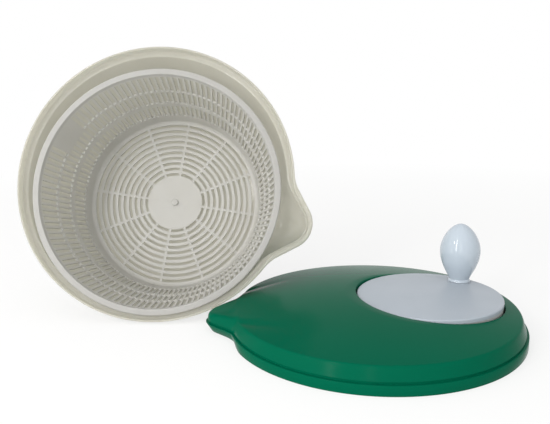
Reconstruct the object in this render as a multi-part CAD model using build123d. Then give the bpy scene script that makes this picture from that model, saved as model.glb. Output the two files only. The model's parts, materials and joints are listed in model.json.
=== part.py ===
from build123d import *
import math
import os

os.makedirs("parts", exist_ok=True)

# Salad spinner with its lid taken off. All sizes are in millimetres.
# The bowl lies on its side with the basket in it, and the lid lies flat beside it.
# Bowl, basket and pivot are drawn upright about the bowl's axis, foot at z = 0.
# The lid and its drive are drawn about the lid's axis, rim at z = 0.

# lid
lid_r = 130.0
lid_wall = 2.2
flange_h = 8.3
groove_h = 1.9
groove_depth = 2.6
band_step = 2.0
band_taper = 18.4
cavity_taper = 10.0
dome_edge = 20.4
dome_edge_round = 1.6

# pouring nose, shared by the lid's tongue and the bowl's spout
nose_reach = 1.0
tongue_nose_r = 19.5
flank_angle = 45.0
flank_blend = 12.0

# bowl
lid_gap = 0.7
lip_wall = 1.8
spout_lip_wall = 4.3
bowl_h = 108.0
groove_show = 0.3
lip_skirt = 2.0
seat_ledge = 4.5
foot_r = 100.0
bowl_wall = 2.2
foot_round = 10.0
lip_round = 1.0
spout_turn = -18.5
channel_ledge = 2.0
channel_h = 24.0
channel_lean = 21.5
channel_low_r = 5.5
beak_skin = 1.8
beak_back = 24.0

# basket
basket_lift = 10.3
basket_gap = 0.2
basket_wall = 1.8
basket_floor = 2.0
basket_lip_w = 4.1
basket_lip_gap = 6.0
basket_lip_h = 2.8
basket_lip_lift = 0.7
basket_lip_round = 1.2
basket_mouth_round = 0.6
basket_foot_round = 6.0
slot_count = 120
slot_post = 2.3
slot_heights = (25.0, 19.5)
slot_bars = (5.0, 2.5, 6.0)
slot_foot_bar = 14.0
patch_angle = 149.0
patch_half = 6.6
floor_ring_r = 31.5
floor_ring_pitch = 6.1
floor_slot = 3.0
spoke_count = 12
spoke_width = 2.6
spoke_turn = 20.6

# pivot under the basket
dish_r = 10.9
dish_wall = 3.0
dish_h = 3.2
dish_floor = 0.6
foot_tip_r = 3.2
foot_tip_round = 1.9
foot_gap = 0.2
foot_collar_r = 7.0
pin_r = 2.5
pip_r = 3.6
pip_h = 1.6
pip_round = 1.1
pin_depth = 5.0

# crank disc
disc_gap = 1.2
disc_crown = 2.5
disc_skirt = 3.5
disc_wall = 2.2
disc_round = 1.2
stem_r = 5.0
disc_hub_r = 9.0

# gearing: internal ring on the disc, pinion on the lid's axis
pinion_teeth = 12
ring_teeth = 72
flank_points = 4
pressure_angle = 25.0
addendum = 0.8
dedendum = 1.05
backlash = 0.25
well_margin = 8.2
gear_lift = 0.6
pinion_h = 6.4
ring_h = 6.8
ring_wall = 1.87
ring_inset = 0.5
lug_count = 4
lug_inset = 5.4
lug_w = 10.0
lug_t = 1.5
web_t = 1.5
spigot_h = 1.2
spigot_gap = 0.1

# floor of the gear well
well_gap = 2.4
ledge_t = 1.6
ledge_w = 6.9
cover_t = 2.0
cover_gap = 0.5
cover_screw_count = 4
bush_flange_t = 1.2
bush_wall = 2.0
bush_lip = 2.0
bush_drop = 0.8

# shaft, driver and their fixings
shaft_r = 4.0
shaft_end_r = 3.2
shaft_end_z = 3.0
driver_gap = 0.8
driver_rim_w = 5.8
driver_rim_h = 5.6
driver_z = 0.8
driver_spokes = 6
driver_spoke_w = 8.0
driver_spoke_t = 2.4
driver_hub_r = 9.0
driver_hub_h = 6.4
clip_t = 0.7
clip_w = 2.5
clip_depth = 0.6
washer_t = 0.8
washer_r = 7.5

# knob
knob_inset = 13.5
knob_turn = 42.0
knob_r = 18.3
knob_neck_r = 9.3
knob_flare_r = 10.3
knob_h = 54.5
knob_neck_z = 2.2
knob_belly_z = 28.5
knob_neck_lean = 2.2
knob_neck_pull = 5.8
knob_low_pull = 11.5
knob_high_pull = 13.0
knob_crown_pull = 8.0
parting_drop = 5.5
knob_pad_r = 10.9
knob_pad_rise = 0.75
spindle_r = 3.5
spindle_head_r = 6.0
spindle_head_h = 1.2
clip_room = 1.2
cap_crown = 11.5
cap_spigot_wall = 2.4
cap_spigot_h = 4.0

# fits
fixed_fit = 0.02
running_fit = 0.05
end_play = 0.3

# small screws
screw_r = 1.4
screw_head_r = 2.9
screw_head_h = 1.3
screw_slot = 0.8

# how the two halves stand beside each other
bowl_yaw = -2.0
lid_tuck = 62.7
lid_forward = 51.6

# lengths that only help to cut cleanly
overcut = 2.0

# bowl, from the lid that closes it
nose_centre = lid_r + nose_reach
throat_r = lid_r - seat_ledge
lip_r = lid_r + lid_gap + lip_wall
seat_depth = flange_h - groove_show
seat_z = bowl_h - seat_depth
lip_z = seat_z - lip_skirt
channel_low_centre = throat_r - channel_lean
bowl_slope = (throat_r + bowl_wall - foot_r) / seat_z

# basket, from the room in the bowl
rim_z = seat_z + basket_lip_lift + basket_lip_h
floor_z = bowl_wall + basket_lift
basket_under = floor_z - basket_floor
dish_top = bowl_wall + dish_h
sag = dish_r - foot_tip_r - foot_gap
basket_lip_r = throat_r - basket_lip_gap
basket_top_r = basket_lip_r - basket_lip_w
basket_foot_r = foot_r + bowl_slope * basket_under - bowl_wall - sag - basket_gap
basket_slope = (basket_top_r - basket_foot_r) / (rim_z - basket_under)
floor_rings = 1 + int((basket_foot_r - basket_foot_round - floor_ring_r) / floor_ring_pitch)
driver_r = basket_top_r - basket_wall - driver_gap

# lid outline
band_z = flange_h + groove_h
shoulder_h = flange_h - lid_wall
shoulder_inset = groove_depth + lid_wall
dome_edge_r = lid_r - band_step - (dome_edge - band_z) * math.tan(math.radians(band_taper))

# heights of the drive, from the driver up to the disc
driver_spoke_z = driver_z + driver_rim_h - driver_spoke_t
shoulder_z = shaft_end_z + driver_hub_h
well_floor = shoulder_z + well_gap
ledge_z = well_floor + ledge_t
cover_top = ledge_z + cover_t
bush_top = cover_top + bush_flange_t
bush_bottom = ledge_z - bush_drop
stem_end = bush_bottom - end_play
gear_z = bush_top + gear_lift
disc_rim_z = gear_z + ring_h + web_t
lug_z = disc_rim_z + spigot_h
disc_edge = disc_rim_z + disc_skirt
disc_top = disc_edge + disc_crown
dome_top = disc_top

# gears as large as the lid has room for
gear_room = dome_edge_r - well_margin - lid_wall - disc_gap - ring_inset - ring_wall
tooth_module = gear_room / (ring_teeth - pinion_teeth / 2 + dedendum)
pitch_r = tooth_module * pinion_teeth / 2
ring_pitch_r = tooth_module * ring_teeth / 2
ring_tip_r = ring_pitch_r - addendum * tooth_module
ring_root_r = ring_pitch_r + dedendum * tooth_module
ring_web_r = ring_tip_r - tooth_module
ring_rim_r = ring_root_r + ring_wall
disc_offset = ring_pitch_r - pitch_r
disc_r = ring_rim_r + ring_inset
well_r = disc_r + disc_gap
cover_screw_r = well_r - ledge_w / 2
lug_r = ring_web_r - lug_inset
lug_turn = knob_turn + 180 / lug_count
knob_radius = disc_r - knob_inset
knob_parting = knob_belly_z - parting_drop
cap_room_r = spindle_r - clip_depth + clip_w + clip_room
cap_room_top = knob_h - cap_crown
cap_spigot_r = cap_room_r + cap_spigot_wall


def turned(points, rounds=()):
    """Solid turned about Z from a (radius, height) outline; rounds are (point, radius) pairs."""
    outline = make_face(Polyline(*points, close=True))
    for point, radius in rounds:
        corner = outline.vertices().sort_by_distance(point)[0]
        outline = fillet(corner, radius)
    return revolve(Plane.XZ * outline, Axis.Z)


def rod(radius, low, high):
    return Pos(0, 0, low) * Cylinder(radius, high - low, align=(Align.CENTER, Align.CENTER, Align.MIN))


def tube(outer, inner, low, high):
    return rod(outer, low, high) - rod(inner, low, high)


def crown_ball(rim_r, rim_height, top):
    """Radius and centre height of the ball whose crown passes through a rim circle and a top point."""
    drop = top - rim_height
    radius = (rim_r ** 2 + drop ** 2) / (2 * drop)
    return radius, top - radius


disc_ball_r, disc_ball_z = crown_ball(disc_r, disc_edge, disc_top)
knob_pad_z = disc_ball_z + math.sqrt(disc_ball_r ** 2 - knob_radius ** 2) + knob_pad_rise
knob_z = knob_pad_z + end_play
knob_clip_z = knob_parting - cap_spigot_h
spindle_top = knob_z + knob_clip_z + 2 * clip_t


def at_disc(solid):
    return Pos(disc_offset, 0, 0) * solid


def around(solid, radius, count, start=0.0):
    step = 360.0 / count
    return [Rot(0, 0, start + step * k) * Pos(radius, 0, 0) * solid for k in range(count)]


def nose_touch(radius, centre=nose_centre):
    slope = math.radians(flank_angle)
    return centre + radius * math.sin(slope), radius * math.cos(slope)


def spouted(radius, nose_r):
    """Round outline with a nose towards +X, its flanks blended into the circle."""
    slope = math.radians(flank_angle)
    reach = nose_centre * math.sin(slope) + nose_r
    foot = (reach * math.sin(slope), reach * math.cos(slope))
    touch = nose_touch(nose_r)
    corners = [(0, 0), foot, touch, (touch[0], -touch[1]), (foot[0], -foot[1])]
    wedge = make_face(Polyline(*corners, close=True))
    outline = Circle(radius) + wedge + Pos(nose_centre, 0) * Circle(nose_r)
    notches = [v for v in outline.vertices() if abs(Vector(v.X, v.Y).length - radius) < 0.01]
    return fillet(notches, flank_blend)


def beak_face(centre, nose_r, height):
    """Drop-shaped section of the spout: a nose arc, two flanks and a straight back."""
    slope = math.radians(flank_angle)
    touch = nose_touch(nose_r, centre)
    back_y = touch[1] + beak_back * math.cos(slope)
    back_x = touch[0] - beak_back * math.sin(slope)
    arc = ThreePointArc((touch[0], -touch[1]), (centre + nose_r, 0), touch)
    sides = Polyline(touch, (back_x, back_y), (back_x, -back_y), (touch[0], -touch[1]))
    return Pos(0, 0, height) * make_face([arc, sides])


def beak(low_centre, low_r, low_z, top_r, top_z):
    return loft([beak_face(low_centre, low_r, low_z), beak_face(nose_centre, top_r, top_z)], ruled=True)


def bowl_outer_r(height):
    return foot_r + bowl_slope * height


def bowl_shape():
    channel_r = tongue_nose_r + lid_gap - channel_ledge
    outside = turned(
        [(0, 0), (foot_r, 0), (bowl_outer_r(lip_z), lip_z), (lip_r, lip_z), (lip_r, bowl_h), (0, bowl_h)],
        [((foot_r, 0), foot_round), ((lip_r, lip_z), lip_round)],
    )
    inner_foot = bowl_outer_r(bowl_wall) - bowl_wall
    hollow = turned(
        [(0, bowl_wall), (inner_foot, bowl_wall), (throat_r, seat_z), (0, seat_z)],
        [((inner_foot, bowl_wall), foot_round - bowl_wall)],
    )
    lip_nose = tongue_nose_r + lid_gap + spout_lip_wall
    lip = Pos(0, 0, lip_z) * extrude(spouted(lip_r, lip_nose), bowl_h - lip_z)
    rebate = Pos(0, 0, seat_z) * extrude(spouted(lid_r + lid_gap, tongue_nose_r + lid_gap), bowl_h - lip_z)
    low_z = seat_z - channel_h
    channel = beak(channel_low_centre, channel_low_r, low_z, channel_r, seat_z)
    skin_low_r = channel_low_r + beak_skin
    skin = beak(channel_low_centre, skin_low_r, low_z - beak_skin, channel_r + beak_skin, lip_z)
    body = outside + lip + skin - hollow - rebate - channel
    dish = tube(dish_r + dish_wall, dish_r, bowl_wall - dish_floor, dish_top)
    dish_bed = rod(dish_r, bowl_wall / 2, bowl_wall + dish_floor)
    return Rot(0, 0, spout_turn) * (body + dish + dish_bed)


def slot_rows():
    """Top and bottom of each row of wall slots, as depths below the rim."""
    tops = [slot_bars[0]]
    for bar, tall in zip(slot_bars[1:], slot_heights):
        tops.append(tops[-1] + tall + bar)
    foots = [top + tall for top, tall in zip(tops, slot_heights)]
    return list(zip(tops, foots + [rim_z - floor_z - slot_foot_bar]))


def wall_slots():
    """One thin radial block for each slot in the basket's wall, but none in the blank patch."""
    blocks = []
    for row, (top, foot) in enumerate(slot_rows()):
        middle = (top + foot) / 2
        wall_r = basket_top_r - basket_slope * middle
        slot_w = 2 * math.pi * wall_r / slot_count - slot_post
        reach = basket_slope * (foot - top) + 2 * (basket_wall + overcut)
        block = Pos(wall_r, 0, rim_z - middle) * Box(reach, slot_w, foot - top)
        for k in range(slot_count):
            angle = (k + 0.5) * 360 / slot_count
            in_patch = row == 0 and abs(angle - patch_angle) < patch_half
            if not in_patch:
                blocks.append(Rot(0, 0, angle) * block)
    return blocks


def floor_slots():
    """Rings of arc-shaped slots, parted by the spokes."""
    rings = []
    for k in range(floor_rings):
        middle = floor_ring_r + k * floor_ring_pitch
        rings.append(Circle(middle + floor_slot / 2) - Circle(middle - floor_slot / 2))
    reach = floor_ring_r + floor_rings * floor_ring_pitch
    spoke = Pos(reach / 2, 0) * Rectangle(reach, spoke_width)
    spokes = [Rot(0, 0, spoke_turn + k * 360 / spoke_count) * spoke for k in range(spoke_count)]
    cuts = []
    for ring in rings:
        arcs = Pos(0, 0, basket_under - overcut) * (ring - spokes)
        cuts += list(extrude(arcs, basket_floor + 2 * overcut).solids())
    return cuts


def basket_shape():
    lip_low = rim_z - basket_lip_h
    lip_root = basket_top_r - basket_slope * basket_lip_h
    inner_foot = basket_foot_r + basket_slope * basket_floor - basket_wall
    inner_top = basket_top_r - basket_wall
    hole = pin_r + running_fit
    shell = turned(
        [(hole, basket_under), (basket_foot_r, basket_under), (lip_root, lip_low), (basket_lip_r, lip_low),
         (basket_lip_r, rim_z), (inner_top, rim_z), (inner_foot, floor_z), (hole, floor_z)],
        [((basket_foot_r, basket_under), basket_foot_round),
         ((inner_foot, floor_z), basket_foot_round - basket_wall),
         ((basket_lip_r, rim_z), basket_lip_round), ((inner_top, rim_z), basket_mouth_round)],
    )
    return shell - (wall_slots() + floor_slots())


def pivot_stud():
    head_z = floor_z + end_play
    head = turned([(0, head_z), (pip_r, head_z), (pip_r, head_z + pip_h), (0, head_z + pip_h)],
                  [((pip_r, head_z + pip_h), pip_round)])
    return head + rod(pin_r, basket_under - pin_depth, head_z)


def pivot_foot():
    tip_z = bowl_wall + dish_floor + foot_gap / 2
    collar_top = basket_under - end_play
    collar_low = dish_top + end_play
    body = turned(
        [(0, tip_z), (foot_tip_r, tip_z), (foot_tip_r, collar_low), (foot_collar_r, collar_low),
         (foot_collar_r, collar_top), (0, collar_top)],
        [((foot_tip_r, tip_z), foot_tip_round)],
    )
    return body - rod(pin_r + fixed_fit, basket_under - pin_depth - fixed_fit, collar_top)


def inset_outline(inset):
    """The lid's outline, drawn in all round."""
    return spouted(lid_r - inset, tongue_nose_r - inset)


def at_cover_screws(solid):
    start = 180 / cover_screw_count
    return [at_disc(copy) for copy in around(solid, cover_screw_r, cover_screw_count, start)]


def cover_holes(low, high):
    return at_cover_screws(rod(screw_r + running_fit, low, high))


def lid_shell():
    ball_r, ball_z = crown_ball(dome_edge_r, dome_edge, dome_top)
    dome = Pos(0, 0, ball_z) * Sphere(ball_r)
    ceiling = Pos(0, 0, ball_z) * Sphere(ball_r - lid_wall)
    flange = extrude(spouted(lid_r, tongue_nose_r), flange_h)
    neck = extrude(Pos(0, 0, flange_h) * inset_outline(groove_depth), groove_h)
    band = extrude(Pos(0, 0, band_z) * inset_outline(band_step), dome_top - band_z, taper=band_taper)
    crown = band & dome
    edge = crown.edges().filter_by(lambda e: e.center().Z > (band_z + dome_edge) / 2)
    crown = fillet(edge, dome_edge_round)
    low_room = extrude(inset_outline(lid_wall), shoulder_h)
    high_room = extrude(Pos(0, 0, shoulder_h) * inset_outline(shoulder_inset), dome_top - shoulder_h,
                        taper=cavity_taper)
    shell = Rot(0, 0, 180) * (flange + neck + crown - low_room - (high_room & ceiling))
    cup = at_disc(rod(well_r + lid_wall, well_floor, dome_top)) & dome
    bore = rod(well_r, ledge_z, dome_top + overcut) + rod(well_r - ledge_w, well_floor, dome_top)
    return shell + cup - at_disc(bore) - cover_holes(well_floor, ledge_z)


def gear_cover():
    plate = at_disc(rod(well_r - cover_gap, ledge_z, cover_top))
    disc_hole = at_disc(rod(stem_r + bush_wall, ledge_z, cover_top))
    shaft_hole = rod(shaft_r + bush_wall, ledge_z, cover_top)
    return plate - disc_hole - shaft_hole - cover_holes(ledge_z, cover_top)


def screw(under_head, length):
    """Slotted screw that points up, with its head below."""
    head = rod(screw_head_r, under_head - screw_head_h, under_head)
    slot = Pos(0, 0, under_head - screw_head_h) * Box(2 * screw_head_r, screw_slot, screw_slot)
    return head - slot + rod(screw_r, under_head, under_head + length)


def cover_screws():
    return at_cover_screws(screw(well_floor, ledge_t + cover_t - end_play))


def bush(bore_r):
    hole = bore_r + running_fit
    outer = bore_r + bush_wall - fixed_fit
    return tube(outer, hole, bush_bottom, cover_top) + tube(outer + bush_lip, hole, cover_top, bush_top)


def at_lugs(solid):
    return around(solid, lug_r, lug_count, lug_turn)


def at_knob(solid):
    return around(solid, knob_radius, 1, knob_turn)


def crank_disc():
    crown = Pos(0, 0, disc_ball_z) * Sphere(disc_ball_r)
    ceiling = Pos(0, 0, disc_ball_z) * Sphere(disc_ball_r - disc_wall)
    block = rod(disc_r, disc_rim_z, disc_top + overcut) & crown
    rim_edge = block.edges().filter_by(lambda e: e.center().Z > (disc_rim_z + disc_edge) / 2)
    block = fillet(rim_edge, disc_round)
    room = rod(disc_r - disc_wall, disc_rim_z, disc_top) & ceiling
    hub = rod(disc_hub_r, bush_top + end_play, disc_top) + rod(stem_r, stem_end, bush_top + end_play)
    lug_boss = at_lugs(rod(lug_w / 2, lug_z, disc_top))
    spindle_boss = at_knob(rod(spindle_head_r, disc_rim_z + end_play, disc_top))
    pad = at_knob(rod(knob_pad_r, disc_edge - disc_wall / 2, knob_pad_z))
    disc = block - room + ((hub + lug_boss + spindle_boss) & crown) + pad
    spindle_hole = at_knob(rod(spindle_r + fixed_fit, disc_rim_z, disc_top))
    lug_holes = at_lugs(rod(screw_r + fixed_fit, lug_z, disc_edge - disc_wall / 2))
    stem_hole = rod(screw_r + fixed_fit, stem_end, bush_top)
    return at_disc(disc - spindle_hole - lug_holes - stem_hole)


def involute(angle):
    return math.tan(angle) - angle


def gear_outline(teeth, tip_r, root_r, extra):
    """Outline of an external gear; extra widens (or thins) each tooth at the pitch circle."""
    pitch = tooth_module * teeth / 2
    press = math.radians(pressure_angle)
    base = pitch * math.cos(press)
    half = math.pi / (2 * teeth) + extra / (2 * pitch)
    low = max(root_r, base)
    steps = [low + (tip_r - low) * k / (flank_points - 1) for k in range(flank_points)]
    flank = [(r, half + involute(press) - involute(math.acos(min(1.0, base / r)))) for r in steps]
    if base > root_r:
        flank = [(root_r, flank[0][1])] + flank
    points = []
    for k in range(teeth):
        middle = 2 * math.pi * k / teeth
        rising = [(r, middle - a) for r, a in flank]
        falling = [(r, middle + a) for r, a in reversed(flank)]
        points += [(r * math.cos(a), r * math.sin(a)) for r, a in rising + falling]
    return make_face(Polyline(*points, close=True))


def ring_gear():
    """Internal gear that hangs under the disc's skirt, held by four lugs inside it."""
    spigot_r = disc_r - disc_wall - spigot_gap
    blank = tube(ring_rim_r, ring_web_r, gear_z, disc_rim_z) + tube(spigot_r, ring_web_r, disc_rim_z, lug_z)
    gaps = extrude(Pos(0, 0, gear_z) * gear_outline(ring_teeth, ring_root_r, ring_tip_r, backlash), ring_h)
    lug = Pos(0, 0, lug_z - lug_t / 2) * Box(2 * (ring_tip_r - lug_r), lug_w, lug_t)
    holes = at_lugs(rod(screw_r + running_fit, gear_z, lug_z))
    return at_disc(blank - gaps + at_lugs(lug) - holes)


def ring_gear_screws():
    under_head = lug_z - lug_t
    one = screw(under_head, disc_edge - disc_wall / 2 - under_head - end_play)
    return [at_disc(copy) for copy in at_lugs(one)]


def disc_washer():
    return at_disc(tube(washer_r, screw_r + running_fit, stem_end - washer_t, stem_end))


def disc_screw():
    return at_disc(screw(stem_end - washer_t, washer_t + bush_top - stem_end - end_play))


def drive_pinion():
    tip_r = pitch_r + addendum * tooth_module
    root_r = pitch_r - dedendum * tooth_module
    wheel = extrude(gear_outline(pinion_teeth, tip_r, root_r, -backlash), pinion_h)
    return Pos(0, 0, gear_z) * wheel - rod(shaft_r + fixed_fit, gear_z, gear_z + pinion_h)


def drive_shaft():
    groove_top = bush_bottom - end_play
    groove = tube(shaft_r + overcut, shaft_r - clip_depth, groove_top - clip_t, groove_top)
    body = rod(shaft_r, shoulder_z, gear_z + pinion_h) + rod(shaft_end_r, shaft_end_z, shoulder_z)
    return body - groove - rod(screw_r + fixed_fit, shaft_end_z, shoulder_z)


def split_ring(inner, top):
    """Spring ring with a gap, as it lies in its groove."""
    ring = tube(inner + clip_w, inner + fixed_fit, top - clip_t, top)
    gap = Pos(inner + clip_w / 2, 0, top - clip_t / 2) * Box(2 * clip_w, inner, clip_t)
    return ring - gap


def shaft_clip():
    return split_ring(shaft_r - clip_depth, bush_bottom - end_play)


def basket_driver():
    rim = tube(driver_r, driver_r - driver_rim_w, driver_z, driver_z + driver_rim_h)
    spoke = Box(driver_r - driver_rim_w / 2, driver_spoke_w, driver_spoke_t,
                align=(Align.MIN, Align.CENTER, Align.MIN))
    spokes = around(Pos(0, 0, driver_spoke_z) * spoke, 0, driver_spokes)
    hub = rod(driver_hub_r, shaft_end_z, shoulder_z)
    return rim + spokes + hub - rod(shaft_end_r + fixed_fit, shaft_end_z, shoulder_z)


def driver_washer():
    return tube(washer_r, screw_r + running_fit, shaft_end_z - washer_t, shaft_end_z)


def driver_screw():
    return screw(shaft_end_z - washer_t, washer_t + shoulder_z - shaft_end_z - end_play)


def knob_spindle():
    head_top = disc_rim_z + end_play
    clip_z = knob_z + knob_clip_z
    groove = tube(spindle_r + overcut, spindle_r - clip_depth, clip_z, clip_z + clip_t)
    pin = rod(spindle_r, head_top, spindle_top)
    return rod(spindle_head_r, head_top - spindle_head_h, head_top) + pin - groove


def knob_egg():
    """Egg-shaped knob, seat at z = 0, with a small flare round its foot."""
    belly = (knob_r, knob_belly_z)
    neck = (knob_neck_r, knob_neck_z)
    lower = Bezier(neck, (knob_neck_r + knob_neck_lean, knob_neck_z + knob_neck_pull),
                   (knob_r, knob_belly_z - knob_low_pull), belly)
    upper = Bezier(belly, (knob_r, knob_belly_z + knob_high_pull), (knob_crown_pull, knob_h), (0, knob_h))
    foot = Polyline((0, knob_h), (0, 0), (knob_flare_r, 0), neck)
    return revolve(Plane.XZ * make_face([lower, upper, foot]), Axis.Z)


def knob_body():
    lower = knob_egg() & rod(knob_r + overcut, 0, knob_parting)
    spigot_room = rod(cap_spigot_r + fixed_fit, knob_clip_z - end_play, knob_parting)
    return lower - rod(spindle_r + running_fit, 0, knob_parting) - spigot_room


def knob_cap():
    upper = knob_egg() & rod(knob_r + overcut, knob_parting, knob_h)
    return upper + rod(cap_spigot_r, knob_clip_z, knob_parting) - rod(cap_room_r, knob_clip_z, cap_room_top)


def on_spindle(solid, lift=0.0):
    turn = math.radians(knob_turn)
    x = disc_offset + knob_radius * math.cos(turn)
    y = knob_radius * math.sin(turn)
    return Pos(x, y, lift) * solid


def bowl_rest():
    """Tilt of the bowl's axis and height of its foot when it lies on lip and foot."""
    slope = math.atan(bowl_slope)
    foot_c = bowl_outer_r(foot_round) - foot_round / math.cos(slope)
    lip_c = lip_r - lip_round
    rise = lip_z + lip_round - foot_round
    span = math.hypot(rise, lip_c - foot_c)
    tilt = math.atan2(lip_c - foot_c, rise) - math.asin((foot_round - lip_round) / span)
    return tilt, foot_c * math.cos(tilt) + foot_round - foot_round * math.sin(tilt)


def bowl_group():
    slid = Pos(0, -sag, 0)
    return {
        "bowl": bowl_shape(),
        "basket": slid * basket_shape(),
        "pivot_stud": slid * pivot_stud(),
        "pivot_foot": slid * pivot_foot(),
    }


def lid_group():
    return {
        "lid_shell": lid_shell(),
        "gear_cover": gear_cover(),
        "cover_screws": cover_screws(),
        "disc_bush": at_disc(bush(stem_r)),
        "shaft_bush": bush(shaft_r),
        "crank_disc": crank_disc(),
        "ring_gear": ring_gear(),
        "ring_gear_screws": ring_gear_screws(),
        "disc_washer": disc_washer(),
        "disc_screw": disc_screw(),
        "drive_pinion": drive_pinion(),
        "drive_shaft": drive_shaft(),
        "shaft_clip": shaft_clip(),
        "basket_driver": basket_driver(),
        "driver_washer": driver_washer(),
        "driver_screw": driver_screw(),
        "knob_spindle": on_spindle(knob_spindle()),
        "spindle_clip": on_spindle(split_ring(spindle_r - clip_depth, knob_z + knob_clip_z + clip_t)),
        "knob_body": on_spindle(knob_body(), knob_z),
        "knob_cap": on_spindle(knob_cap(), knob_z),
    }


def placed(group, where):
    """Each piece as one compound of its solids, moved to its place."""
    moved = {}
    for name, shape in group.items():
        copies = shape if isinstance(shape, list) else [shape]
        solids = [solid for copy in copies for solid in copy.solids()]
        moved[name] = where * (solids[0] if len(solids) == 1 else Compound(children=solids))
    return moved


# bowl laid on its side, lid set down beside it, both centred on the frame
tilt, foot_height = bowl_rest()
stand = Pos(0, 0, foot_height) * Rot(0, 0, bowl_yaw) * Rot(90 - math.degrees(tilt), 0, 0)
mouth = (stand * Pos(0, 0, bowl_h)).position
beside = Pos(mouth.X + lip_r + lid_r - lid_tuck, mouth.Y - lid_forward, 0)
pieces = {**placed(bowl_group(), stand), **placed(lid_group(), beside)}
outer = [pieces[name].bounding_box() for name in ("bowl", "lid_shell")]
middle_x = (min(box.min.X for box in outer) + max(box.max.X for box in outer)) / 2
middle_y = (min(box.min.Y for box in outer) + max(box.max.Y for box in outer)) / 2
centred = Pos(-middle_x, -middle_y, 0)
for name, shape in pieces.items():
    export_step(centred * shape, f"parts/{name}.step")
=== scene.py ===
import json
import math

import bmesh
import bpy
from mathutils import Matrix, Vector


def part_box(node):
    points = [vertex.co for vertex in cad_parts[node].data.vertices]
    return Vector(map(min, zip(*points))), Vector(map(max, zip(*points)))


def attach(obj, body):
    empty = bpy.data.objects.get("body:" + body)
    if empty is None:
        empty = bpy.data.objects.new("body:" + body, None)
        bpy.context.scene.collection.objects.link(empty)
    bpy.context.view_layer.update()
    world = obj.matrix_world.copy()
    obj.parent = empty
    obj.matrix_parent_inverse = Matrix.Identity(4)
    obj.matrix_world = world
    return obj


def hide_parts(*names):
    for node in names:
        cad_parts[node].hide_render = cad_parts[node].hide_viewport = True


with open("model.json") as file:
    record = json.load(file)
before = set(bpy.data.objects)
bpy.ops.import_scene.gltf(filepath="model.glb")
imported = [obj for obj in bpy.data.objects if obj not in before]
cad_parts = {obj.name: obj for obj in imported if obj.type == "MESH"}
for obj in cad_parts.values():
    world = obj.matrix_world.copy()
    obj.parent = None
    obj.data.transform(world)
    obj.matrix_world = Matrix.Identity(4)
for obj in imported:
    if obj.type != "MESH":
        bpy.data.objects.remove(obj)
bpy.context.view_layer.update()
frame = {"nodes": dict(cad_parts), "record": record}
nodes = frame["nodes"]
millimetres = 1000  # in a metre
cloudRange = (0.3, 0.7)  # where most of a noise lies


# small helpers for node trees
def newMaterial(name):
    material = bpy.data.materials.new(name)
    material.use_nodes = True
    tree = material.node_tree
    return material, tree, tree.nodes["Principled BSDF"]


def addNode(tree, kind, inputs=None, **settings):
    node = tree.nodes.new(kind)
    for key, value in settings.items():
        setattr(node, key, value)
    for key, value in (inputs or {}).items():
        setInput(tree, node, key, value)
    return node


def setInput(tree, node, key, value):
    socket = node.inputs[key]
    if isinstance(value, bpy.types.NodeSocket):
        tree.links.new(value, socket)
    elif isinstance(value, (tuple, list)) and len(value) == 3 and socket.type == "RGBA":
        socket.default_value = (*value, 1)
    else:
        socket.default_value = value


def objectSpace(tree, offset=(0, 0, 0)):
    # metres from the given point, riding with the piece
    coords = addNode(tree, "ShaderNodeTexCoord").outputs["Object"]
    return addNode(tree, "ShaderNodeVectorMath", {0: coords, 1: offset}, operation="SUBTRACT").outputs[0]


def noise(tree, coords, scale, detail=4, rough=0.55, distortion=0):
    made = addNode(tree, "ShaderNodeTexNoise", {"Vector": coords, "Scale": scale, "Detail": detail,
                                                "Roughness": rough, "Distortion": distortion})
    return made.outputs["Fac"]


def spread(tree, value, low, high, to=(0, 1)):
    # stretches low..high of a value over the given range, clamped
    made = addNode(tree, "ShaderNodeMapRange", {"Value": value, "From Min": low, "From Max": high,
                                                "To Min": to[0], "To Max": to[1]})
    return made.outputs["Result"]


def blendColours(tree, share, first, second):
    made = addNode(tree, "ShaderNodeMix", data_type="RGBA")
    setInput(tree, made, 0, share)
    setInput(tree, made, 6, first)
    setInput(tree, made, 7, second)
    return made.outputs[2]


def maths(tree, operation, first, second=0.0):
    return addNode(tree, "ShaderNodeMath", {0: first, 1: second}, operation=operation).outputs[0]


def bump(tree, height, strength, distance):
    inputs = {"Height": height, "Strength": strength, "Distance": distance}
    return addNode(tree, "ShaderNodeBump", inputs).outputs["Normal"]


def ripple(tree, place, values):
    # faint unevenness of a moulded face: size and detail of the noise, strength and height of the bump
    scale, detail, strength, distance = values["ripple"]
    return bump(tree, noise(tree, place, scale, detail=detail), strength, distance)


def softGlow(tree, paint, values):
    # light that spreads a little way inside the plastic
    setInput(tree, paint, "Subsurface Weight", values["glow"])
    setInput(tree, paint, "Subsurface Radius", values["glowDepth"])
    setInput(tree, paint, "Subsurface Scale", 1.0)


def clouded(tree, paint, cloud, values):
    # the gloss is a little uneven, as the colour is
    setInput(tree, paint, "Roughness", spread(tree, cloud, *cloudRange, to=values["roughness"]))


def scratches(tree, coords, scale, turn, stretch, width):
    # thin lines one way: noise drawn out along one direction, only its crest kept
    turned = addNode(tree, "ShaderNodeMapping", {"Vector": coords, "Rotation": turn, "Scale": stretch})
    lines = noise(tree, turned.outputs["Vector"], scale, detail=2, rough=0.5, distortion=0.3)
    crest = 0.5 + width  # a noise has its middle at 0.5
    return spread(tree, lines, crest, crest + width)


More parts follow.
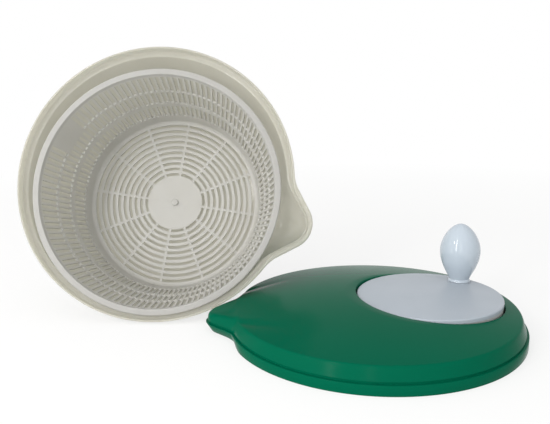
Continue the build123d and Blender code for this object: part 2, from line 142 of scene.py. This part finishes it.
def ringMesh(name, rings, loop=False, sharp=38):
    # skins closed rings of equal count with quads; open ends are closed round their middle point
    count = len(rings[0])
    verts = [point for ring in rings for point in ring]
    steps = [(k, k + 1) for k in range(len(rings) - 1)]
    if loop:
        steps.append((len(rings) - 1, 0))
    faces = []
    for near, far in steps:
        for i in range(count):
            j = (i + 1) % count
            faces.append((near * count + i, near * count + j, far * count + j, far * count + i))
    if not loop:
        for ring in (0, len(rings) - 1):
            middle = sum((Vector(p) for p in rings[ring]), Vector()) / count
            verts.append(middle)
            for i in range(count):
                faces.append((ring * count + i, ring * count + (i + 1) % count, len(verts) - 1))
    mesh = bpy.data.meshes.new(name)
    mesh.from_pydata(verts, [], faces)
    shape = bmesh.new()
    shape.from_mesh(mesh)
    bmesh.ops.recalc_face_normals(shape, faces=shape.faces)
    shape.to_mesh(mesh)
    shape.free()
    mesh.polygons.foreach_set("use_smooth", [True] * len(mesh.polygons))
    mesh.set_sharp_from_angle(angle=math.radians(sharp))
    made = bpy.data.objects.new(name, mesh)
    bpy.context.scene.collection.objects.link(made)
    return made


def ease(value, low, high):
    # 0 below low, 1 above high, smooth between
    t = min(1, max(0, (value - low) / (high - low)))
    return t * t * (3 - 2 * t)


def lesser(a, b, soft):
    # the smaller of two heights, with the corner between them rounded off
    return min(a, b) - max(soft - abs(a - b), 0) ** 2 / (4 * soft)


def greater(a, b, soft):
    # the larger of two, rounded off in the same way
    return -lesser(-a, -b, soft)


def bowlFoot():
    # middle of the bowl's foot, and the way that it faces
    mount = next(m for m in frame["record"]["mounts"] if m["name"] == "bowl_foot")
    return Vector(mount["pos_m"]), Vector(mount["axis"])


def dress(material, *names):
    for name in names:
        piece = nodes[name]
        piece.data.materials.clear()
        piece.data.materials.append(material)


# camera
camera = {
    "place": (0.01456, -0.53336, 0.2056),
    "pitch": 0.194,  # radians below level
    "roll": -0.017,
    "focal": 38.88,
    "sensor": 36,
    "nearest": 0.01,
}


def makeCamera(values):
    data = bpy.data.cameras.new("camera")
    data.lens = values["focal"]
    data.sensor_width = values["sensor"]
    data.clip_start = values["nearest"]
    made = bpy.data.objects.new("camera", data)
    bpy.context.scene.collection.objects.link(made)
    pitch, roll = values["pitch"], values["roll"]
    ahead = Vector((0, math.cos(pitch), -math.sin(pitch)))
    above = Vector((0, math.sin(pitch), math.cos(pitch)))
    right = Vector((1, 0, 0)) * math.cos(roll) + above * math.sin(roll)
    top = above * math.cos(roll) - Vector((1, 0, 0)) * math.sin(roll)
    turned = Matrix((right, top, -ahead)).transposed()
    made.matrix_world = Matrix.Translation(values["place"]) @ turned.to_4x4()
    bpy.context.scene.camera = made


makeCamera(camera)
print("camera: set")


# studio: pale floor, white surroundings, soft lamps
studio = {
    "floorColour": (0.86, 0.86, 0.85),
    "floorPaler": 1.02,
    "floorGrain": 3,
    "floorRoughness": 0.9,
    "floorGloss": 0.1,
    "floorSize": 14,
    "fadeStart": 0.5,
    "fadeEnd": 1.3,
    "floorVeil": 0.72,
    "skyBright": 1.22,
    "skyDim": 0.48,
    "skyLean": (-0.62, -0.77, 0.1),
}
# the matt lamps light the pieces and leave no highlight
lamps = {
    "window": {"place": (-0.8, -1.15, 0.68), "size": (0.12, 1.1), "power": 6.5, "colour": (1, 0.985, 0.96),
               "matt": False},
    "pane": {"place": (-1.0, -0.7, 0.87), "size": (0.1, 0.1), "power": 1.4, "colour": (1, 0.99, 0.98),
             "matt": False},
    "slit": {"place": (-0.2, -1.53, 0.62), "size": (0.03, 0.9), "power": 1.8, "colour": (1, 0.99, 0.98),
             "matt": False},
    "left": {"place": (-1.2, -0.9, 0.5), "size": (1.4, 1.0), "power": 7.5, "colour": (1, 0.99, 0.97),
             "matt": True},
    "front": {"place": (0.1, -1.6, 0.4), "size": (1.8, 0.8), "power": 2, "colour": (0.96, 0.98, 1),
              "matt": True},
}


def makeLamp(name, values, aim=(0, 0, 0.06)):
    data = bpy.data.lights.new(name, "AREA")
    data.shape = "RECTANGLE"
    data.size, data.size_y = values["size"]
    data.energy = values["power"]
    data.color = values["colour"]
    made = bpy.data.objects.new(name, data)
    bpy.context.scene.collection.objects.link(made)
    made.visible_glossy = not values["matt"]
    made.location = values["place"]
    made.rotation_euler = (Vector(aim) - made.location).to_track_quat("-Z", "Y").to_euler()


def seenWhite(tree):
    # 1 where the camera looks, or what is mirrored or seen through a clear piece
    rays = addNode(tree, "ShaderNodeLightPath").outputs
    shown = maths(tree, "MAXIMUM", rays["Is Camera Ray"], rays["Is Glossy Ray"])
    return maths(tree, "MAXIMUM", shown, rays["Is Transmission Ray"])


def makeSky(values):
    world = bpy.data.worlds.new("sky")
    bpy.context.scene.world = world
    world.use_nodes = True
    tree = world.node_tree
    back = tree.nodes["Background"]
    back.inputs["Color"].default_value = (1, 1, 1, 1)
    # white as a background, softer as a light
    heading = addNode(tree, "ShaderNodeTexCoord").outputs["Generated"]
    lean = addNode(tree, "ShaderNodeVectorMath", {0: heading, 1: values["skyLean"]},
                   operation="DOT_PRODUCT").outputs["Value"]
    soft = spread(tree, lean, -1, 1, to=(values["skyDim"], values["skyBright"]))
    level = addNode(tree, "ShaderNodeMix", {0: seenWhite(tree), 2: soft, 3: 1.0}).outputs[0]
    tree.links.new(level, back.inputs["Strength"])


def makeFloor(values):
    half = values["floorSize"] / 2
    mesh = bpy.data.meshes.new("floor")
    corners = [(-half, -half, 0), (half, -half, 0), (half, half, 0), (-half, half, 0)]
    mesh.from_pydata(corners, [], [(0, 1, 2, 3)])
    floor = bpy.data.objects.new("floor", mesh)
    bpy.context.scene.collection.objects.link(floor)
    material, tree, paint = newMaterial("floorPaint")
    grain = noise(tree, objectSpace(tree), values["floorGrain"], detail=3)
    colour = values["floorColour"]
    paler = tuple(min(1, c * values["floorPaler"]) for c in colour)
    setInput(tree, paint, "Base Color", blendColours(tree, grain, colour, paler))
    setInput(tree, paint, "Roughness", values["floorRoughness"])
    setInput(tree, paint, "Specular IOR Level", values["floorGloss"])
    away = addNode(tree, "ShaderNodeVectorMath", {0: objectSpace(tree)}, operation="LENGTH")
    fade = spread(tree, away.outputs["Value"], values["fadeStart"], values["fadeEnd"],
                  to=(values["floorVeil"], 1))
    # the floor goes white away from the object, and keeps the shadow near it
    fade = maths(tree, "MULTIPLY", fade, seenWhite(tree))
    glow = addNode(tree, "ShaderNodeEmission", {"Color": (1, 1, 1), "Strength": 1.0})
    mixed = addNode(tree, "ShaderNodeMixShader", {0: fade, 1: paint.outputs[0], 2: glow.outputs[0]})
    tree.links.new(mixed.outputs[0], tree.nodes["Material Output"].inputs["Surface"])
    mesh.materials.append(material)


makeSky(studio)
makeFloor(studio)
for lampName, lampValues in lamps.items():
    makeLamp(lampName, lampValues)
bpy.context.scene.view_settings.view_transform = "Standard"
print("studio: floor, sky and lamps")


# bowl: milky, half clear moulded plastic
bowl = {
    # millimetres in the bowl's own frame: out from its axis, up from its foot
    "footR": 100, "wall": 2.2, "rise": 0.277, "throatR": 125.5, "seatZ": 100, "lipZ": 98,
    "lipR": 132.5, "lipNose": 24.5, "spoutTurn": -18.5,
    "scoopFoot": 79, "scoopLow": (104, 5.5), "scoopHigh": (131, 18.2),
    "noseTurns": (0, 0.8, 1.6, 2.4, 3.2, 4, 4.8, 5.6, 6.5, 7.5, 8.5, 9.5, 10.5, 11.5, 12.5, 13.5, 14.5, 15.5,
                  17, 19, 21, 23, 25, 27),
    "restSteps": 128,
    "underRings": (20, 60, 84, 88),
    "footRound": ((89.5, 0), (91, 0.1), (94, 0.7), (97, 2.0), (99.6, 4.0), (101.3, 6.4), (102.3, 8.7)),
    "outsideLevels": (11, 13, 30, 50, 64, 70, 74, 76, 77, 78, 79, 80, 81, 82, 83.5, 85, 87, 89, 91, 93, 95,
                      96.5, 97.5),
    "lip": ((128.2, 97.9), (129.6, 98), (131.4, 98), (132.1, 98.2), (132.4, 98.6), (132.5, 99.2),
            (132.5, 106.6), (132.4, 107.4), (132.1, 107.8), (131.6, 108), (131.3, 108)),
    "seat": ((131, 107.9, 21.6), (130.8, 107.6, 20.8), (130.7, 107, 20.4), (130.7, 102, 20.2),
             (130.6, 101, 20.1), (130.2, 100.4, 19.9), (129.6, 100.1, 19.6), (128.8, 100, 19.2),
             (127.2, 100, 18.9), (126.3, 99.8, 18.5)),  # the third value is the beak's nose there
    "insideLevels": (99.3, 98.5, 97.5, 96, 94, 92, 90, 88, 86.5, 85, 84, 83, 82, 81, 80, 79, 77, 70, 56, 40,
                     24, 15, 12),
    "floor": ((101, 9.5), (100.1, 7), (98.3, 4.8), (95.8, 3.2), (93, 2.4), (90, 2.2), (86, 2.2), (50, 2.2),
              (18, 2.2), (15, 2.2)),
    "dish": ((14.1, 2.3), (13.9, 2.6), (13.9, 5.1), (13.8, 5.3), (13.5, 5.4), (11.3, 5.4), (11, 5.3),
             (10.9, 5.1), (10.9, 3), (10.7, 2.8), (5, 2.8)),
    "noseSoft": 4,
    "colour": (0.49, 0.48, 0.425),
    "cloud": (0.53, 0.52, 0.47),
    "roughness": (0.06, 0.09),
    "gloss": 0.6,
    "glow": 0.5,
    "glowDepth": (0.006, 0.0058, 0.005),
    "through": 0.54,
    "throughColour": (0.86, 0.85, 0.79),
    "cloudScale": 16,
    "cloudEdges": (0.35, 0.7),
    "ripple": (25, 1, 0.05, 0.0005),
}


def makeBowlPlastic(values):
    material, tree, paint = newMaterial("bowlPlastic")
    place = objectSpace(tree)
    cloud = noise(tree, place, values["cloudScale"], detail=5)
    share = spread(tree, cloud, *values["cloudEdges"])
    colour = blendColours(tree, share, values["colour"], values["cloud"])
    setInput(tree, paint, "Base Color", colour)
    clouded(tree, paint, cloud, values)
    setInput(tree, paint, "Specular IOR Level", values["gloss"])
    softGlow(tree, paint, values)
    normal = ripple(tree, place, values)
    setInput(tree, paint, "Normal", normal)
    letThrough(tree, paint, values, normal)
    return material


def letThrough(tree, paint, values, normal):
    # thin milky plastic lets some of the light behind it come through
    veil = addNode(tree, "ShaderNodeBsdfTranslucent", {"Color": values["throughColour"], "Normal": normal})
    mixed = addNode(tree, "ShaderNodeMixShader",
                    {0: values["through"], 1: paint.outputs[0], 2: veil.outputs[0]})
    tree.links.new(mixed.outputs[0], tree.nodes["Material Output"].inputs["Surface"])


def beakReach(turn, centre, noseR):
    # distance from the axis to the edge of a beak: a nose arc between two flanks at 45 degrees
    if abs(turn) > math.pi / 4:
        return 0
    side = noseR * math.sqrt(0.5)
    if abs(turn) < math.atan2(side, centre + side):
        return centre * math.cos(turn) + math.sqrt(noseR ** 2 - (centre * math.sin(turn)) ** 2)
    return (centre + noseR * math.sqrt(2)) / (math.cos(turn) + math.sin(abs(turn)))


def scoop(values, height, top, skin):
    # beak of the pouring channel at a height: deep and round below, nearly upright at the top
    foot = values["scoopFoot"] - skin
    share = min(1, max(0, (height - foot) / (top - foot)))
    share = math.sqrt(1 - (1 - share) ** 2)
    low, high = values["scoopLow"], values["scoopHigh"]
    return low[0] + (high[0] - low[0]) * share, low[1] + (high[1] - low[1]) * share + skin


def makeBowl(values):
    foot, under = bowlFoot()
    out = -under
    right = Vector((-out.y, out.x, 0)).normalized()
    above = out.cross(right)
    spout = math.radians(values["spoutTurn"])
    near = [math.radians(a) for a in values["noseTurns"]]
    # close steps round the beak, even ones round the rest
    turns = sorted(near + [-a for a in near if a > 0])
    restSteps = values["restSteps"]
    gap = 2 * math.pi - 2 * near[-1]
    turns += [near[-1] + gap * k / restSteps for k in range(1, restSteps)]
    wall, footR, rise = values["wall"], values["footR"], values["rise"]
    seatZ, lipZ = values["seatZ"], values["lipZ"]

    def ring(radius, height, beak=None):
        made = []
        for turn in turns:
            reach = radius
            if beak:
                bent = (turn + math.pi) % (2 * math.pi) - math.pi
                reach = greater(radius, beakReach(bent, *beak), values["noseSoft"])
            spot = right * math.cos(turn + spout) + above * math.sin(turn + spout)
            made.append(foot + (spot * reach + out * height) / millimetres)
        return made

    rings = [ring(r, 0) for r in values["underRings"]]
    for r, z in values["footRound"]:
        rings.append(ring(r, z))
    for z in values["outsideLevels"]:
        rings.append(ring(footR + rise * z, z, scoop(values, z, lipZ, wall)))
    for r, z in values["lip"]:
        rings.append(ring(r, z, (values["scoopHigh"][0], values["lipNose"] + r - values["lipR"])))
    for r, z, noseR in values["seat"]:
        rings.append(ring(r, z, (values["scoopHigh"][0], noseR)))
    throatR = values["throatR"]
    for z in values["insideLevels"]:
        rings.append(ring(throatR - rise * (seatZ - z), z, scoop(values, z, seatZ, 0)))
    for r, z in values["floor"] + values["dish"]:
        rings.append(ring(r, z))
    made = ringMesh("bowl_skin", rings)
    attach(made, "bowl")
    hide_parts("bowl")
    return made


bowlPiece = makeBowl(bowl)
bowlPiece.data.materials.append(makeBowlPlastic(bowl))
print("bowl: built and dressed")


# basket and its pivot: ivory white moulded plastic
basket = {
    "colour": (0.60, 0.595, 0.57),
    "worn": (0.57, 0.56, 0.525),
    # painted shade: a greyer colour for the rolled rim and the depth band it covers, darkening the rim where
    # the lamps make it too bright
    "rim": (0.46, 0.455, 0.44),
    "rimDepth": (-0.101, -0.099),
    "roughness": (0.34, 0.46),
    "glow": 0.3,
    "glowDepth": (0.003, 0.003, 0.0027),
    "through": 0.34,
    "throughColour": (0.88, 0.87, 0.84),
    "cloudScale": 22,
    "cloudEdges": (0.4, 0.75),
    "ripple": (900, 2, 0.05, 0.0002),
}


def makeBasketPlastic(values):
    material, tree, paint = newMaterial("basketPlastic")
    place = objectSpace(tree)
    cloud = noise(tree, place, values["cloudScale"], detail=5)
    share = spread(tree, cloud, *values["cloudEdges"])
    colour = blendColours(tree, share, values["colour"], values["worn"])
    # painted shade: the rolled rim is painted a little greyer than the walls, to darken it where it would
    # render too bright under the lamps
    foot, under = bowlFoot()
    depth = addNode(tree, "ShaderNodeVectorMath", {0: objectSpace(tree, offset=tuple(foot)), 1: tuple(under)},
                    operation="DOT_PRODUCT").outputs["Value"]
    rim = spread(tree, depth, *values["rimDepth"], to=(1, 0))
    colour = blendColours(tree, rim, colour, values["rim"])
    setInput(tree, paint, "Base Color", colour)
    clouded(tree, paint, cloud, values)
    softGlow(tree, paint, values)
    normal = ripple(tree, place, values)
    setInput(tree, paint, "Normal", normal)
    letThrough(tree, paint, values, normal)
    return material


dress(makeBasketPlastic(basket), "basket", "pivot_stud")
print("basket: dressed")


# lid: deep green glossy plastic
lid = {
    # millimetres in the lid's own frame: in from its rim, up from the table
    "noseCentre": 131, "noseR": 19.5, "noseBlend": 12, "flankTurn": 45,
    "noseSteps": 14, "flankSteps": 8, "rimSteps": 150, "domeSteps": 18,
    "domeEdge": 20.4, "domeTop": 31.5, "domeCrowd": 0.8,
    "flangeH": 8.3, "bandStep": 2, "bandZ": 10.2, "bandTaper": 18.4,
    "edgeReach": 14, "edgeSoft": 2.6, "beakSoft": 4,
    "beakEdge": (7, 9.4), "beakTilt": 0.1, "beakZone": (112, 126), "beakRise": 0.5, "beakLean": 5,
    "leanZone": (116, 134), "riseRun": 12,
    "crease": (113, 43), "creaseTurn": 0.5, "creaseDepth": 0.8, "creaseWidth": 4, "creaseFade": (64, 112),
    "edgeInsets": (14, 12, 10.4, 9.2, 8.2, 7.4, 6.8, 6.3, 5.8, 5.3, 4.8, 4.2, 3.6, 3.1, 2.7, 2.4, 2.2, 2.07,
                   2.0),
    "rimProfile": ((2.05, 10.3), (2.3, 10.2), (2.6, 10.1), (2.6, 8.4), (2.5, 8.3), (0.5, 8.3), (0.15, 8.15),
                   (0, 7.8), (0, 0.45), (0.13, 0.13), (0.45, 0), (1.9, 0), (2.2, 0.3), (2.2, 5.9), (2.4, 6.1),
                   (4.6, 6.1), (4.8, 6.4), (6.6, 14)),
    "ceilingInset": 7.6, "wall": 2.2, "discGap": 1.2,
    "wellLip": ((0, 0.5), (0.15, 0.15), (0.5, 0)),
    "wellProfile": ((2.2, 12.2), (1.8, 11.8), (-6.6, 11.8), (-6.9, 12.1), (-6.9, 13.1), (-6.6, 13.4),
                    (-0.3, 13.4), (0, 13.7)),
    "colour": (0.0, 0.100, 0.053),
    "shade": (0.0, 0.089, 0.046),
    "roughness": (0.16, 0.23),
    "gloss": 0.025,
    "cloudScale": 14,
    "ripple": (30, 2, 0.025, 0.0005),
}


def makeLidPlastic(values):
    material, tree, paint = newMaterial("lidPlastic")
    place = objectSpace(tree)
    cloud = noise(tree, place, values["cloudScale"], detail=4)
    setInput(tree, paint, "Base Color", blendColours(tree, cloud, values["colour"], values["shade"]))
    clouded(tree, paint, cloud, values)
    setInput(tree, paint, "Specular IOR Level", values["gloss"])
    setInput(tree, paint, "Normal", ripple(tree, place, values))
    return material


def lidOutline(radius):
    # points and inward directions round the rim, u towards the nose, from one nose touch to the other
    slope = math.radians(lid["flankTurn"])
    centre, noseR, blend = lid["noseCentre"], lid["noseR"], lid["noseBlend"]
    flankOut = Vector((math.sin(slope), math.cos(slope)))
    reach = centre * math.sin(slope) + noseR
    along = math.sqrt((radius + blend) ** 2 - (reach + blend) ** 2)
    hollow = flankOut * (reach + blend) + Vector((math.cos(slope), -math.sin(slope))) * along
    onRim = hollow * (radius / (radius + blend))
    onFlank = hollow - flankOut * blend
    touch = Vector((centre, 0)) + flankOut * noseR
    half = []
    turn = math.pi / 2 - slope
    for k in range(lid["noseSteps"]):
        a = turn * k / lid["noseSteps"]
        out = Vector((math.cos(a), math.sin(a)))
        half.append((Vector((centre, 0)) + out * noseR, -out))
    for k in range(lid["flankSteps"]):
        half.append((touch.lerp(onFlank, k / lid["flankSteps"]), -flankOut))
    start = math.atan2(*reversed(onFlank - hollow))
    end = math.atan2(*reversed(onRim - hollow))
    sweep = (end - start) % (-2 * math.pi)
    for k in range(lid["flankSteps"]):
        a = start + sweep * k / lid["flankSteps"]
        out = Vector((math.cos(a), math.sin(a)))
        half.append((hollow + out * blend, out))
    rimStart = math.atan2(onRim.y, onRim.x)
    for k in range(lid["rimSteps"]):
        a = rimStart + (math.pi - rimStart) * k / lid["rimSteps"]
        out = Vector((math.cos(a), math.sin(a)))
        half.append((out * radius, -out))
    back = [(Vector((-radius, 0)), Vector((1, 0)))]
    mirror = [(Vector((p.x, -p.y)), Vector((q.x, -q.y))) for p, q in half[:0:-1]]
    return half + back + mirror


def domeBall(radius):
    # radius of the ball that the dome is a piece of
    taper = math.tan(math.radians(lid["bandTaper"]))
    edge = radius - lid["bandStep"] - (lid["domeEdge"] - lid["bandZ"]) * taper
    rise = lid["domeTop"] - lid["domeEdge"]
    return (edge ** 2 + rise ** 2) / (2 * rise)


def lidHeight(spot, ballR, inset=math.inf):
    # outer height of the lid: a shallow dome, a steep band round it and a rounded beak
    dome = lid["domeTop"] - ballR + math.sqrt(ballR ** 2 - spot.x ** 2 - spot.y ** 2)
    creaseFar = Vector((spot.x - lid["crease"][0], abs(spot.y) - lid["crease"][1]))
    across = -creaseFar.x * math.sin(lid["creaseTurn"]) - creaseFar.y * math.cos(lid["creaseTurn"])
    depth = lid["creaseDepth"] * ease(spot.x, *lid["creaseFade"])
    width = lid["creaseWidth"]
    dome -= depth * math.exp(-(across / width) ** 2)
    dome += lid["beakRise"] * ease(spot.x, *lid["creaseFade"]) * ease(across, 0, lid["riseRun"])
    if inset > lid["edgeReach"]:
        return dome
    rise = max(0, inset - lid["bandStep"])
    band = lid["bandZ"] + rise / math.tan(math.radians(lid["bandTaper"]))
    bulge = 1 - min(1, rise / lid["beakEdge"][0])
    beak = lid["bandZ"] + lid["beakEdge"][1] * math.sqrt(1 - bulge ** 2) + lid["beakTilt"] * rise
    share = ease(spot.x, *lid["beakZone"])
    soft = lid["edgeSoft"] * (1 - share) + lid["beakSoft"] * share
    height = lesser(dome, band * (1 - share) + beak * share, soft)
    return max(lid["bandZ"], height)


def makeLid(values):
    low, high = [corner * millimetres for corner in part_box("lid_shell")]
    radius = (high.y - low.y) / 2
    centre = Vector((high.x - radius, (low.y + high.y) / 2))
    discLow, discHigh = [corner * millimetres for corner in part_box("crank_disc")]
    discMiddle = Vector((centre.x - (discLow.x + discHigh.x) / 2, 0))
    wellR = (discHigh.x - discLow.x) / 2 + values["discGap"]
    ballR = domeBall(radius)
    outline = lidOutline(radius)
    bearing = [(p - discMiddle).normalized() for p, q in outline]

    def place(spot, height):
        return tuple(value / millimetres for value in (centre.x - spot.x, centre.y + spot.y, height))

    def level(inset, height):
        # below the flange's top the beak leans in, to slip into the pouring channel
        lean = max(0, 1 - height / values["flangeH"]) * values["beakLean"]
        return [place(p + q * (inset + lean * ease(p.x, *values["leanZone"])), height) for p, q in outline]

    def skin(inset, drop=0):
        return [place(p + q * inset, lidHeight(p + q * inset, ballR, inset) - drop) for p, q in outline]

    def wellLevel(shift, height):
        return [place(discMiddle + b * (wellR + shift), height) for b in bearing]

    def wellSkin(shift, drop):
        spots = [discMiddle + b * (wellR + shift) for b in bearing]
        return [place(s, lidHeight(s, ballR) - drop) for s in spots]

    def between(shift, inset, share, drop=0):
        ring = []
        for b, (p, q) in zip(bearing, outline):
            spot = (discMiddle + b * (wellR + shift)).lerp(p + q * inset, share)
            ring.append(place(spot, lidHeight(spot, ballR) - drop))
        return ring

    # from the well's lip over the dome to the rim, then back under it to the well
    wall, steps = values["wall"], values["domeSteps"]
    lipEnd = values["wellLip"][-1][0]
    rings = [wellSkin(shift, drop) for shift, drop in values["wellLip"]]
    shares = [(k / steps) ** values["domeCrowd"] for k in range(1, steps)]
    rings += [between(lipEnd, values["edgeReach"], share) for share in shares]
    rings += [skin(inset) for inset in values["edgeInsets"]]
    rings += [level(inset, height) for inset, height in values["rimProfile"]]
    rings.append(skin(values["ceilingInset"], wall))
    rings += [between(wall, values["ceilingInset"], 1 - k / steps, wall) for k in range(1, steps)]
    rings.append(wellSkin(wall, wall))
    rings += [wellLevel(shift, height) for shift, height in values["wellProfile"]]
    made = ringMesh("lid_shell_skin", rings, loop=True)
    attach(made, "lid")
    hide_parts("lid_shell")
    return made


lidPiece = makeLid(lid)
lidPiece.data.materials.append(makeLidPlastic(lid))
print("lid: built and dressed")


# crank disc and knob: cool white gloss plastic
disc = {
    "colour": (0.38, 0.42, 0.465),
    "cloud": (0.345, 0.385, 0.43),
    "roughness": (0.32, 0.38),
    "gloss": 0.25,
    "glow": 0.1,
    "glowDepth": (0.002, 0.002, 0.002),
    "cloudScale": 30,
    "ripple": (12, 1, 0.03, 0.0004),
}
knob = {
    "colour": (0.43, 0.485, 0.54),
    "cloud": (0.40, 0.455, 0.51),
    "roughness": (0.1, 0.15),
    "gloss": 0.5,
    "glow": 0.1,
    "glowDepth": (0.002, 0.002, 0.002),
    "cloudScale": 30,
    "ripple": (12, 1, 0.03, 0.0004),
}


def makeWhitePlastic(name, values):
    material, tree, paint = newMaterial(name)
    place = objectSpace(tree)
    cloud = noise(tree, place, values["cloudScale"], detail=5)
    setInput(tree, paint, "Base Color", blendColours(tree, cloud, values["colour"], values["cloud"]))
    clouded(tree, paint, cloud, values)
    setInput(tree, paint, "Specular IOR Level", values["gloss"])
    softGlow(tree, paint, values)
    setInput(tree, paint, "Normal", ripple(tree, place, values))
    return material


dress(makeWhitePlastic("discPlastic", disc), "crank_disc")
dress(makeWhitePlastic("knobPlastic", knob), "knob_body", "knob_cap")
print("disc and knob: dressed")


# pieces under the lid: gears, bearings, steel
works = {
    "gear": {"colour": (0.46, 0.47, 0.46), "worn": 0.88, "roughness": (0.35, 0.5), "cloudScale": 60,
             "ripple": (700, 2, 0.08, 0.0002)},
    "bearing": {"colour": (0.62, 0.60, 0.52), "worn": 0.88, "roughness": (0.4, 0.55), "cloudScale": 60,
                "ripple": (700, 2, 0.08, 0.0002)},
    "pin": {"colour": (0.56, 0.56, 0.57), "worn": 0.8, "roughness": (0.25, 0.5), "cloudScale": 200,
            "stretch": (1, 1, 12)},
    "screw": {"colour": (0.50, 0.50, 0.50), "worn": 0.8, "roughness": (0.25, 0.5), "cloudScale": 200,
              "stretch": (12, 1, 1)},
    "brush": {"scale": 500, "turn": (0, 0, 0.2), "width": 0.04, "strength": 0.1, "distance": 0.0001,
              "range": (0.3, 1.6)},
}


def makeWorksPlastic(name, values):
    material, tree, paint = newMaterial(name)
    place = objectSpace(tree)
    cloud = noise(tree, place, values["cloudScale"], detail=4)
    worn = tuple(c * values["worn"] for c in values["colour"])
    setInput(tree, paint, "Base Color", blendColours(tree, cloud, values["colour"], worn))
    clouded(tree, paint, cloud, values)
    setInput(tree, paint, "Normal", ripple(tree, place, values))
    return material


def makeSteel(name, values):
    material, tree, paint = newMaterial(name)
    place = objectSpace(tree)
    cloud = noise(tree, place, values["cloudScale"], detail=4)
    brush = works["brush"]
    brushed = scratches(tree, place, brush["scale"], brush["turn"], values["stretch"], brush["width"])
    worn = tuple(c * values["worn"] for c in values["colour"])
    setInput(tree, paint, "Base Color", blendColours(tree, cloud, values["colour"], worn))
    setInput(tree, paint, "Metallic", 1.0)
    uneven = maths(tree, "ADD", cloud, brushed)
    setInput(tree, paint, "Roughness", spread(tree, uneven, *brush["range"], to=values["roughness"]))
    setInput(tree, paint, "Normal", bump(tree, brushed, brush["strength"], brush["distance"]))
    return material


dress(makeWorksPlastic("gearPlastic", works["gear"]), "gear_cover", "ring_gear", "drive_pinion",
      "basket_driver")
dress(makeWorksPlastic("bearingNylon", works["bearing"]), "pivot_foot", "disc_bush", "shaft_bush")
dress(makeSteel("pinSteel", works["pin"]), "drive_shaft", "shaft_clip", "knob_spindle", "spindle_clip")
dress(makeSteel("screwSteel", works["screw"]), "cover_screws", "ring_gear_screws", "disc_washer",
      "disc_screw", "driver_washer", "driver_screw")
print("works: dressed")
